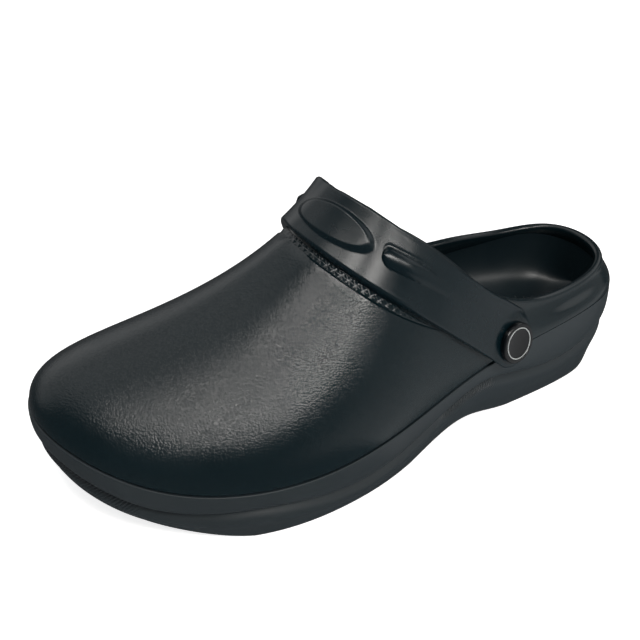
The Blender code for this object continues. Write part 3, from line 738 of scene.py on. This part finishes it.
def rivet_along(around):
    """Station of the rivet on the same side of the shoe."""
    return RIVET_ALONG + INNER_RIVET_AHEAD * (np.asarray(around) > TOE_RAY)


def bed_height(along, out):
    """Height of the insole's top at a station and a side distance, from the bowl's own formula."""
    lateral = station_ray(along, 1)
    inset = WALL + LIP_CLEARANCE
    right = ray(lateral, "out") - inset
    left = ray(station_ray(along, -1), "out") + inset
    across = (2 * out - right - left) / (right - left)
    boundary = ray(lateral, "seam") + bed_lip(along)
    return cup(boundary, along, across, sole(along, "bed"))


def rivet_seat(side):
    """Place around the outline, foot on the upper and axis of a rivet; side is +1 lateral, -1 medial."""
    around = station_ray(RIVET_ALONG + INNER_RIVET_AHEAD * (side < 0), side)
    climb = climb_at(np.array([around]), np.array([[-RIVET_DROP]]))[0, 0]
    return around, last_face(around, climb), last_normal(np.array([around]), np.array([climb]))[0]


def strap_rays():
    """Places around the outline for the strap's rows: closer at its round ends."""
    turn = np.radians(np.concatenate([[5, 12], np.arange(18, 136, 3)]))
    end = RIVET_ALONG - STRAP_END_RADIUS * np.cos(turn)
    lateral = station_ray(end, 1)
    medial = station_ray(end + INNER_RIVET_AHEAD, -1)
    middle = np.linspace(lateral[-1], medial[-1], 560)[1:-1]
    return np.concatenate([lateral, middle, medial[::-1]])


def strap_limits(around):
    """Band heights of the strap's front and back edges on each ray, with a round end about the rivet."""
    slope = np.radians(STRAP_SLOPE)
    radius = STRAP_END_RADIUS
    behind = ray(around, "along") - rivet_along(around)
    chord = np.sqrt(np.maximum(radius**2 - behind**2, 0)) * np.cos(slope)
    crest = np.clip((ray(around, "top") - STRIP_END_TOP) / (INSTEP_HEIGHT - STRIP_END_TOP), 0, 1)
    front = -radius - STRAP_CREST_DROP * crest**3
    low = np.where(behind < radius * np.sin(slope), -chord - behind * np.sin(slope), front)
    back = radius - STRAP_BACK_TRIM * smooth(behind / BACK_TRIM_SPAN)
    high = np.where(behind < -radius * np.sin(slope), chord - behind * np.sin(slope), back)
    throat = band_height(last_face(around, np.ones_like(around)))
    return low, np.minimum(high, throat + STRAP_OVERHANG + CREST_OVERHANG * crest**3)


def strap_relief(run, height, length):
    """Height of the moulded relief at a run from the outer rivet and a band height.

    The pad is an oval with a bevelled edge and a top flatter than the strap, so it stands prouder towards
    its outer end. Each rib is a half-round with a round head next to the pad, which thins out and sinks
    towards its rivet along the strap's low crown, with a shallow groove above it; length is the run from
    rivet to rivet.
    """
    beside = run - PAD_RUN
    oval = np.hypot(beside / PAD_LENGTH, (height - PAD_MIDDLE - PAD_TILT * beside) / PAD_WIDTH)
    on_pad = smooth((1 - oval) * PAD_WIDTH / PAD_BEVEL)
    outer_end = np.clip(0.5 - beside / (2 * PAD_LENGTH), 0, 1)
    pad = (PAD_HEIGHT + PAD_FLAT_RISE * outer_end**2) * on_pad
    past = RIB_HEAD_RUN - np.minimum(run, length - run)
    thinned = 1 - RIB_THINNING * smooth((past - RIB_EVEN_RUN) / RIB_TAIL_RUN)
    half = np.maximum(RIB_WIDTH * round_off(past / RIB_WIDTH) * thinned, RIB_NARROWEST)
    ridge = RIB_MIDDLE + RIB_TILT * np.clip(past, 0, RIB_TAIL_RUN)
    off = (height - ridge) / half
    fade = RIB_HEIGHT * (1 - smooth((past - RIB_FULL_RUN) / (RIB_LENGTH - RIB_FULL_RUN)))
    rib = fade * np.sqrt(np.clip(1 - off * off, 0, 1)) * (past > 0)
    beyond = (height - ridge - half) / RIB_GROOVE_HALF - 1
    groove = RIB_GROOVE * fade / RIB_HEIGHT * smooth(1 - np.abs(beyond)) * (past > 0)
    near_ridge = 1 - smooth(np.abs(height - ridge) / CROWN_REACH)
    crown = CROWN_HEIGHT * smooth((past + CROWN_LEAD) / CROWN_RISE_RUN) * near_ridge
    return pad + rib + crown - groove


def on_upper(around, heights):
    """Rays, climbs, points on the upper and normals for band heights, one row a ray."""
    climbs = climb_at(around, heights)
    rays = np.broadcast_to(around[:, None], heights.shape)
    return rays, climbs, upper_face(rays, climbs), last_normal(rays, climbs)


def run_along(line):
    """Distance of each point along a line from its first point."""
    steps = np.linalg.norm(np.diff(line, axis=0), axis=1)
    return np.concatenate([[0], np.cumsum(steps)])


def closed_tube(points):
    """Points and faces of a grid whose rows are closed sections, with a face over each end."""
    rows, ring = points.shape[:2]
    faces = grid_faces(rows, ring, close_columns=True).tolist()
    faces += [list(range(ring)), list(range((rows - 1) * ring, rows * ring))]
    return points.reshape(-1, 3), faces


def strap_surface():
    """Closed section on each row: outer face across, then the inner face back, both offset from the upper.

    The outer face is the thickness with rounded edges and ends, plus the relief, and is flat under a rivet.
    """
    around = strap_rays()
    low, high = strap_limits(around)
    even = np.linspace(0, 1, 92)
    crowded = 0.5 - 0.5 * np.cos(np.pi * even)
    shares = STRAP_EVEN_SHARE * even + (1 - STRAP_EVEN_SHARE) * crowded
    heights = low[:, None] + (high - low)[:, None] * shares
    rays, climbs, foot, normal = on_upper(around, heights)
    below = np.maximum(band_height(last_face(around, 0 * around))[:, None] - heights, 0)
    foot = foot - (below / np.cos(np.radians(STRAP_SLOPE)))[..., None] * UP
    past = np.maximum(heights - band_height(last_face(around, 1 + 0 * around))[:, None], 0)
    step = 0.02
    foot = foot + past[..., None] * unit(last_face(rays, climbs) - last_face(rays, climbs - step))
    near_seam = smooth((ray(rays, "seam") + STANDOFF_REACH - foot[..., 2]) / STANDOFF_REACH)
    inner = foot + (GAP + STRAP_STANDOFF * near_seam)[..., None] * normal
    from_side = np.minimum(shares, 1 - shares) * (high - low)[:, None]
    from_end = (ray(around, "along") - rivet_along(around) + STRAP_END_RADIUS)[:, None]
    body = STRAP_END_EDGE + (STRAP_THICKNESS - STRAP_END_EDGE) * round_off(from_end / STRAP_END_ROUND)
    corner = STRAP_CORNER_SHARE * (1 - round_off(from_side / STRAP_CORNER))
    thick = body * (1 - corner)
    middle = (inner + STRAP_THICKNESS * normal)[:, len(shares) // 2]
    run = run_along(middle)
    first, last = np.interp([rivet_seat(1)[0], rivet_seat(-1)[0]], around, run)
    relief = strap_relief(run[:, None] - first, heights, last - first)
    outer = inner + (thick + relief * smooth((from_side - STRAP_CORNER) / RELIEF_FADE))[..., None] * normal
    for side in (1, -1):
        _, seat, axis = rivet_seat(side)
        reach = outer - seat
        lift = reach @ axis
        radius = np.linalg.norm(reach - lift[..., None] * axis, axis=-1)
        flat = (1 - smooth((radius - RIVET_RADIUS) / SEAT_FADE)) * (np.abs(lift) < SEAT_REACH)
        outer = outer + (flat * (SEAT_HEIGHT - lift))[..., None] * axis
    few = np.linspace(len(shares) - 1, 0, 8).astype(int)
    points, faces = closed_tube(np.concatenate([outer, inner[:, few]], axis=1))
    return points, faces, {}


def knurl_surface():
    """Strip of small pyramids in the step in front of the strap: the lower of two crossed triangle waves."""
    fine = np.linspace(0, AROUND, 1500)
    inside = fine[strip_share(fine) > KNURL_END_SHARE]
    around = np.linspace(inside[0], inside[-1], 460)
    front = strip_front(around) + KNURL_MARGIN
    back = strap_limits(around)[0] - KNURL_SHORT
    shares = np.linspace(0, 1, 19)
    heights = front[:, None] + (np.maximum(back - front, KNURL_NARROWEST))[:, None] * shares
    _, _, foot, normal = on_upper(around, heights)
    run = run_along(foot[:, 0])[:, None]
    one = 1 - np.abs(2 * (((run + heights) / KNURL_PITCH) % 1) - 1)
    other = 1 - np.abs(2 * (((run - heights) / KNURL_PITCH) % 1) - 1)
    border = smooth(np.minimum(shares, 1 - shares) * (back - front)[:, None] / KNURL_BORDER)
    lift = KNURL_STAND + KNURL_HEIGHT * np.minimum(one, other) * border * strip_share(around)[:, None]
    top = foot + lift[..., None] * normal
    root = (foot - KNURL_ROOT * normal)[:, ::-6]
    points, faces = closed_tube(np.concatenate([top, root], axis=1))
    return points, faces, {"grain": np.zeros(len(points))}


def turned(profile, foot, axis, sides, closed=False):
    """A profile of (radius, height) pairs turned about an axis; a closed one makes a ring."""
    across = unit(np.cross(axis, UP))
    upright = np.cross(axis, across)
    turn = 2 * np.pi * np.arange(sides) / sides
    way = np.cos(turn)[:, None] * across + np.sin(turn)[:, None] * upright
    radius, height = np.array(profile, float).T
    points = foot + radius[None, :, None] * way[:, None] + height[None, :, None] * axis
    levels = len(profile)
    faces = grid_faces(sides, levels, close_rows=True, close_columns=closed).tolist()
    if not closed:
        faces += [(np.arange(sides) * levels).tolist(), (np.arange(sides) * levels + levels - 1).tolist()]
    return points.reshape(-1, 3), faces, {}


def rivet_surface(side):
    """Inner head, shank, and a cap with a quarter-round edge and a shallow dish inside a ring's groove."""
    _, foot, axis = rivet_seat(side)
    inside = -WALL - HEAD_CLEARANCE
    bottom = inside - INNER_HEAD
    seat = SEAT_HEIGHT + GAP
    top = seat + RIVET_CAP
    floor = top - GROOVE_DEPTH
    turn = np.radians(np.linspace(0, 90, 7))
    far = RIVET_ROUND * np.cos(turn)
    near = RIVET_ROUND * np.sin(turn)
    head = list(zip(INNER_HEAD_RADIUS - RIVET_ROUND + near, bottom + RIVET_ROUND - far))
    edge = list(zip(RIVET_RADIUS - RIVET_ROUND + far, top - RIVET_ROUND + near))
    profile = [(AXIS_RADIUS, bottom)] + head + [(INNER_HEAD_RADIUS, inside), (SHANK_RADIUS, inside)]
    profile += [(SHANK_RADIUS, seat), (RIVET_RADIUS - CAP_CHAMFER, seat), (RIVET_RADIUS, seat + CAP_CHAMFER)]
    profile += edge + [(RING_OUTSIDE + GROOVE_FLARE, top), (RING_OUTSIDE + GROOVE_CLEARANCE, floor)]
    profile += [(RING_INSIDE - GROOVE_CLEARANCE, floor), (RING_INSIDE - DISH_RIM, top - DISH_RIM_DROP)]
    profile += [(RING_INSIDE - DISH_SHOULDER, top - DISH_SHOULDER_DROP), (AXIS_RADIUS, top - DISH_DROP)]
    return turned(profile, foot, axis, 72)


def ring_surface(side):
    """White ring that stands in the cap's groove: a flat band with rounded shoulders, turned."""
    _, foot, axis = rivet_seat(side)
    top = SEAT_HEIGHT + GAP + RIVET_CAP
    middle = (RING_INSIDE + RING_OUTSIDE) / 2
    half = (RING_OUTSIDE - RING_INSIDE) / 2
    turn = np.radians(np.linspace(0, 180, 9))
    shoulder = list(zip(middle + half * np.cos(turn), top - RING_SHOULDER_DROP + RING_CROWN * np.sin(turn)))
    base = top - RING_FOOT_DROP
    return turned([(RING_OUTSIDE, base)] + shoulder + [(RING_INSIDE, base)], foot, axis, 72, closed=True)


def nub_surface():
    """Massage nubs under the heel: small domes, each a grid of polar angle by turn, all in one mesh.

    Nubs stand in staggered rows at a fixed pitch inside an oval, on the foot bed's own height.
    """
    row, column = np.meshgrid(np.arange(-12, 13), np.arange(-8, 9), indexing="ij")
    out = NUB_OVAL_OUT + NUB_PITCH * (column + 0.5 * (row % 2))
    along = NUB_OVAL_ALONG + NUB_PITCH * NUB_ROW_SHARE * row
    length_share = (along - NUB_OVAL_ALONG) / NUB_OVAL_HALF_LENGTH
    reach = np.hypot((out - NUB_OVAL_OUT) / NUB_OVAL_HALF_WIDTH, length_share)
    out = out[reach < 1]
    along = along[reach < 1]
    sides = 12
    turn = 2 * np.pi * np.arange(sides) / sides
    tilt = np.radians([0, 25, 50, 75, 90, 110])
    ring = NUB_RADIUS * np.sin(tilt)[:, None]
    high = NUB_HEIGHT * np.cos(tilt)[:, None] + 0 * turn
    dome = np.stack([ring * np.cos(turn), ring * np.sin(turn), high], axis=-1)
    dome[0, :, :2] = AXIS_RADIUS * np.stack([np.cos(turn), np.sin(turn)], axis=-1)
    foot = place(along, out, bed_height(along, out))
    points = foot[:, None, None, :] + dome
    single = grid_faces(len(tilt), sides, close_columns=True)
    count = len(tilt) * sides
    start = np.arange(len(foot))[:, None, None] * count
    faces = (single[None] + start).reshape(-1, 4).tolist()
    faces += (np.arange(sides)[None] + start[:, 0]).tolist()
    faces += (np.arange(sides)[None] + count - sides + start[:, 0]).tolist()
    return points.reshape(-1, 3), faces, {}


# Meshes


def add_piece(name, surface, material, replaced=None):
    """Object from a closed surface in millimetres, with its faces turned outwards and shaded smooth."""
    points, faces, attributes = surface
    mesh = bpy.data.meshes.new(name)
    mesh.from_pydata(((points - CENTRE) * MM).tolist(), [], faces)
    shape = bmesh.new()
    shape.from_mesh(mesh)
    bmesh.ops.recalc_face_normals(shape, faces=shape.faces)
    shape.to_mesh(mesh)
    shape.free()
    mesh.shade_smooth()
    mesh.set_sharp_from_angle(angle=np.radians(SHARP_ANGLE))
    for key, values in attributes.items():
        layer = mesh.attributes.new(key, "FLOAT", "POINT")
        layer.data.foreach_set("value", values.astype(np.float32))
    mesh.materials.append(material)
    thing = bpy.data.objects.new(name, mesh)
    bpy.context.scene.collection.objects.link(thing)
    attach(thing, "root")
    if replaced:
        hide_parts(replaced)
    return thing


# Materials


def linear(code):
    """sRGB hex colour turned to linear, with alpha 1."""
    share = np.array([int(code[start : start + 2], 16) for start in (1, 3, 5)]) / 255
    bent = np.where(share <= 0.04045, share / 12.92, ((share + 0.055) / 1.055) ** 2.4)
    return (*bent.tolist(), 1.0)


def add_node(tree, kind, settings=None, inputs=None):
    """Adds a node: settings are its own properties, and inputs are socket values, or outputs to link."""
    node = tree.nodes.new("ShaderNode" + kind)
    for name, value in (settings or {}).items():
        setattr(node, name, value)
    for name, value in (inputs or {}).items():
        if isinstance(value, bpy.types.NodeSocket):
            tree.links.new(value, node.inputs[name])
        else:
            node.inputs[name].default_value = value
    return node


def new_material(name):
    """Empty node material; gives the material, its tree and the Object coordinates."""
    material = bpy.data.materials.new(name)
    material.use_nodes = True
    tree = material.node_tree
    tree.nodes.clear()
    return material, tree, add_node(tree, "TexCoord").outputs["Object"]


def per_metre(size):
    """Texture scale that repeats once in a size in millimetres."""
    return 1 / (size * MM)


def mottle(tree, cloud, dark, light, swing):
    """Clouds of noise that shade the colour and swing the roughness; gives both sockets."""
    share = add_node(tree, "TexNoise", {"noise_dimensions": "3D"}, cloud).outputs["Fac"]
    colours = {"Factor": share, "A": linear(dark), "B": linear(light)}
    tone = add_node(tree, "Mix", {"data_type": "RGBA"}, colours)
    gloss = add_node(tree, "MapRange", None, {"Value": share, **swing})
    return {"Base Color": tone.outputs["Result"], "Roughness": gloss.outputs["Result"]}


def finish(tree, sockets):
    """Surface with the given sockets, none of it metal, linked to the material's output."""
    shader = add_node(tree, "BsdfPrincipled", None, {"Metallic": 0.0, **sockets})
    add_node(tree, "OutputMaterial", None, {"Surface": shader.outputs[0]})


def moulded_foam(name, dark, light, roughness, pebble=0.0, ribs=0.0):
    """Injection-moulded EVA foam: a closed skin, nearly black, whose gloss follows the mould's finish.

    Slow mottling of tone and gloss comes from the flow of the melt, and a fine tooth from the etched mould,
    drawn coarser than real so that it shows. pebble is the depth in mm of a leather grain where the
    surface's grain attribute is 1, with painted shade in its hollows: their specular level is turned down
    below that of the tops; ribs is the depth of fine ribs along the flute.
    """
    material, tree, where = new_material(name)
    cloud = {"Vector": where, "Scale": per_metre(FLOW_SIZE), "Detail": 3.0, "Roughness": 0.55}
    swing = {"To Min": roughness - FLOW_GLOSS, "To Max": roughness + FLOW_GLOSS}
    skin = mottle(tree, cloud, dark, light, {"From Min": 0.3, "From Max": 0.7, **swing})
    etching = {"Vector": where, "Scale": per_metre(TOOTH_SIZE), "Detail": 2.0, "Roughness": 0.5}
    tooth = add_node(tree, "TexNoise", {"noise_dimensions": "3D"}, etching).outputs["Fac"]
    relief = {"Strength": 0.35, "Distance": TOOTH_DEPTH * MM, "Height": tooth}
    normal = add_node(tree, "Bump", None, relief).outputs[0]
    shine = 0.5
    if pebble:
        mask = add_node(tree, "Attribute", {"attribute_name": "grain"}).outputs["Fac"]
        grain = {"Vector": where, "Scale": per_metre(PEBBLE_PITCH), "Smoothness": 0.2, "Randomness": 1.0}
        cells = add_node(tree, "TexVoronoi", {"feature": "SMOOTH_F1"}, grain).outputs["Distance"]
        depth = add_node(tree, "Math", {"operation": "MULTIPLY"}, {0: cells, 1: mask}).outputs[0]
        # Painted shade: the grain's hollows get a lower specular level than its tops, standing in for the
        # shadow that falls in them.
        valley_shade = {"Value": depth, "From Min": 0.15, "From Max": 0.6, "To Min": 0.6, "To Max": 0.38}
        shine = add_node(tree, "MapRange", None, valley_shade).outputs["Result"]
        relief = {"Strength": 1.0, "Distance": pebble * MM, "Height": depth, "Normal": normal}
        normal = add_node(tree, "Bump", {"invert": True}, relief).outputs[0]
    if ribs:
        run = add_node(tree, "Attribute", {"attribute_name": "run"}).outputs["Fac"]
        mask = add_node(tree, "Attribute", {"attribute_name": "rib"}).outputs["Fac"]
        turns = {0: run, 1: 2 * np.pi * per_metre(RIB_PITCH)}
        phase = add_node(tree, "Math", {"operation": "MULTIPLY"}, turns).outputs[0]
        wave = add_node(tree, "Math", {"operation": "SINE"}, {0: phase}).outputs[0]
        depth = add_node(tree, "Math", {"operation": "MULTIPLY"}, {0: wave, 1: mask}).outputs[0]
        relief = {"Strength": 1.0, "Distance": ribs * MM, "Height": depth, "Normal": normal}
        normal = add_node(tree, "Bump", None, relief).outputs[0]
    finish(tree, {**skin, "IOR": FOAM_IOR, "Specular IOR Level": shine, "Normal": normal})
    return material


def moulded_plastic(name, dark, light, roughness):
    """Injection-moulded ABS: hard, smooth and even, with faint drag marks that vary its gloss a little."""
    material, tree, where = new_material(name)
    cloud = {"Vector": where, "Scale": per_metre(DRAG_SIZE), "Detail": 4.0}
    swing = {"To Min": roughness - DRAG_GLOSS, "To Max": roughness + DRAG_GLOSS}
    finish(tree, {**mottle(tree, cloud, dark, light, swing), "IOR": ABS_IOR})
    return material


def studio_paper():
    """Seamless white paper of a light table: matt, lit a little from below, with fibres too fine to see."""
    material, tree, _ = new_material("white_paper_sweep")
    sheet = {"Base Color": linear("#f4f4f4"), "Roughness": 0.9, "IOR": PAPER_IOR}
    finish(tree, {**sheet, "Emission Color": linear(WHITE), "Emission Strength": PAPER_GLOW})
    return material


# Stage, light and camera


def add_floor():
    """Plain square of paper under the shoe, left out of the shoe's gloss, which mirrors lights and room."""
    half = FLOOR_SIZE / 2
    corners = [(-half, -half, 0), (half, -half, 0), (half, half, 0), (-half, half, 0)]
    mesh = bpy.data.meshes.new("floor")
    mesh.from_pydata(corners, [], [(0, 1, 2, 3)])
    mesh.materials.append(studio_paper())
    floor = bpy.data.objects.new("floor", mesh)
    floor.visible_glossy = False
    bpy.context.scene.collection.objects.link(floor)


def direction(azimuth, elevation):
    """Unit vector towards a compass angle from -Y towards +X, and a height angle, both in degrees."""
    a = np.radians(azimuth)
    e = np.radians(elevation)
    return np.array([np.sin(a) * np.cos(e), -np.cos(a) * np.cos(e), np.sin(e)])


def add_softbox(name, spot, facing, width, depth, radiance, tint):
    """Area light at a spot in metres that faces along a vector; its power follows from radiance and size."""
    light = bpy.data.lights.new(name, "AREA")
    light.shape = "RECTANGLE"
    light.size = width
    light.size_y = depth
    light.energy = radiance * np.pi * width * depth
    light.color = linear(tint)[:3]
    box = bpy.data.objects.new(name, light)
    box.location = spot
    box.rotation_euler = (-Vector(facing)).to_track_quat("Z", "Y").to_euler()
    box.visible_camera = False
    bpy.context.scene.collection.objects.link(box)


def add_world(strength):
    """Even dim light from all round."""
    world = bpy.data.worlds.new("studio")
    world.use_nodes = True
    sky = world.node_tree.nodes["Background"]
    sky.inputs["Color"].default_value = linear("#fbfcff")
    sky.inputs["Strength"].default_value = strength
    bpy.context.scene.world = world


def add_camera():
    """Camera at the photograph's angle to the shoe, rolled as it is, with the framing's small shift."""
    back = direction(CAMERA_AZIMUTH, CAMERA_ELEVATION)
    level = np.array([np.cos(np.radians(CAMERA_AZIMUTH)), np.sin(np.radians(CAMERA_AZIMUTH)), 0.0])
    over = np.cross(back, level)
    roll = np.radians(CAMERA_ROLL)
    right = np.cos(roll) * level + np.sin(roll) * over
    up = np.cos(roll) * over - np.sin(roll) * level
    spot = (CAMERA_TARGET - CENTRE + CAMERA_DISTANCE * back) * MM
    lens = bpy.data.cameras.new("camera")
    lens.sensor_width = SENSOR
    lens.lens = SENSOR * FOCAL_PIXELS / FRAME_PIXELS
    lens.shift_x = (FRAME_PIXELS / 2 - OPTICAL_CENTRE[0]) / FRAME_PIXELS
    lens.shift_y = (OPTICAL_CENTRE[1] - FRAME_PIXELS / 2) / FRAME_PIXELS
    camera = bpy.data.objects.new("camera", lens)
    axes = np.eye(4)
    axes[:3, :3] = np.stack([right, up, back], axis=1)
    axes[:3, 3] = spot
    camera.matrix_world = Matrix(axes.tolist())
    bpy.context.scene.collection.objects.link(camera)
    bpy.context.scene.camera = camera


def dress():
    """Makes every piece with its finish."""
    vamp_foam = moulded_foam("eva_foam_leather_grain", "#0a171b", "#0d1c21", 0.21, pebble=0.08)
    strap_foam = moulded_foam("eva_foam_matt", "#041419", "#07181e", 0.27)
    # Painted light: the sole's tone is lifted well above the upper's foam, standing in for floor light
    # bouncing up onto its side.
    sole_foam_painted_bounce = moulded_foam("eva_foam_sole_painted_bounce", "#222a2e", "#283034", 0.46, ribs=0.2)
    # Painted light: the foot bed and its nubs are lifted to a lighter tone than the upper's foam, standing
    # in for light reaching down into the heel cup.
    cup_foam_painted_light = moulded_foam("eva_foam_polished_painted_light", "#111d22", "#152227", 0.36)
    black_plastic = moulded_plastic("abs_black", "#04070a", "#070a0d", 0.22)
    white_plastic = moulded_plastic("abs_white", "#a9adad", "#b6baba", 0.4)
    add_piece("upper_skin", upper_surface(), vamp_foam, "upper")
    add_piece("grip_strip", knurl_surface(), vamp_foam)
    add_piece("sole_skin", sole_surface(), sole_foam_painted_bounce, "sole")
    bed = add_piece("insole_skin", insole_surface(), cup_foam_painted_light, "insole")
    add_piece("insole_nubs", nub_surface(), cup_foam_painted_light)
    add_piece("strap_skin", strap_surface(), strap_foam, "strap")
    for side, name in ((1, "lateral"), (-1, "medial")):
        add_piece(f"rivet_{name}_skin", rivet_surface(side), black_plastic, f"rivet_{name}")
        add_piece(f"rivet_{name}_ring", ring_surface(side), white_plastic)


add_camera()
add_floor()
add_world(ROOM_LIGHT)
for box_name, box in SOFTBOXES.items():
    add_softbox(box_name, *box)
bpy.context.scene.view_settings.view_transform = "Standard"
dress()
